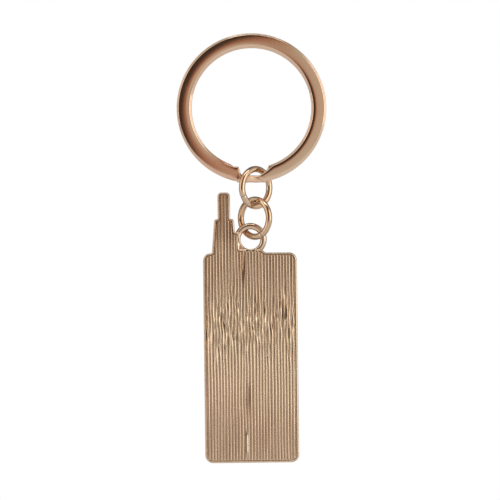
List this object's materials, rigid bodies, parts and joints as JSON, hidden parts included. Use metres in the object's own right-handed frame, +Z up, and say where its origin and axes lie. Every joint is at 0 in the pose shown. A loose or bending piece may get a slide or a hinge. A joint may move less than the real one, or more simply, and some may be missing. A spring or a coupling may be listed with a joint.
{
  "type": "souvenir key ring charm",
  "caption": "Split ring with two round wire links carrying a flat cast metal charm: a tall rounded panel with a stepped tower at its top left, a cast eye and a finely ribbed back",
  "frame": {"origin": "the hang point, at the inner top of the split ring, midway between its two coils", "axes": "+Z up along the hanging length; +X to the right when facing the ribbed back; the ribbed back faces -Y and the coloured front faces +Y"},
  "size_m": [0.03, 0.0064, 0.0862],
  "materials": {
    "ring_plating": "polished rose gold plating on flat spring-steel wire",
    "link_plating": "bright champagne gold plating on round steel wire",
    "charm_plating": "satin rose gold plating on a die-cast zinc charm",
    "sky_enamel": "soft enamel, pale sky blue, slightly sunk and glossy",
    "tower_enamel": "soft enamel, navy blue, slightly sunk and glossy",
    "block_enamel": "soft enamel, brick red, slightly sunk and glossy",
    "river_enamel": "soft enamel, teal, slightly sunk and glossy"
  },
  "bodies": {
    "ring": {"split_ring": "ring_plating"},
    "upper_link_body": {"upper_link": "link_plating"},
    "lower_link_body": {"lower_link": "link_plating"},
    "charm": {"charm_casting": "charm_plating", "enamel_sky": "sky_enamel", "enamel_tower": "tower_enamel", "enamel_blocks": "block_enamel", "enamel_river": "river_enamel"}
  },
  "joints": [
    {"name": "upper_link_swing", "type": "hinge", "parent": "ring", "child": "upper_link_body", "pos_m": [0.00085, 0.00015, -0.026], "axis": [1, 0, 0], "range_deg": [-75, 8]},
    {"name": "lower_link_swing", "type": "hinge", "parent": "upper_link_body", "child": "lower_link_body", "pos_m": [0.00085, 0.0003, -0.0317], "axis": [0.7314, 0.682, 0], "range_deg": [-75, 20]},
    {"name": "charm_swing", "type": "hinge", "parent": "lower_link_body", "child": "charm", "pos_m": [0.0002, 0.0007, -0.0366], "axis": [1, 0, 0], "range_deg": [-5, 65]}
  ]
}
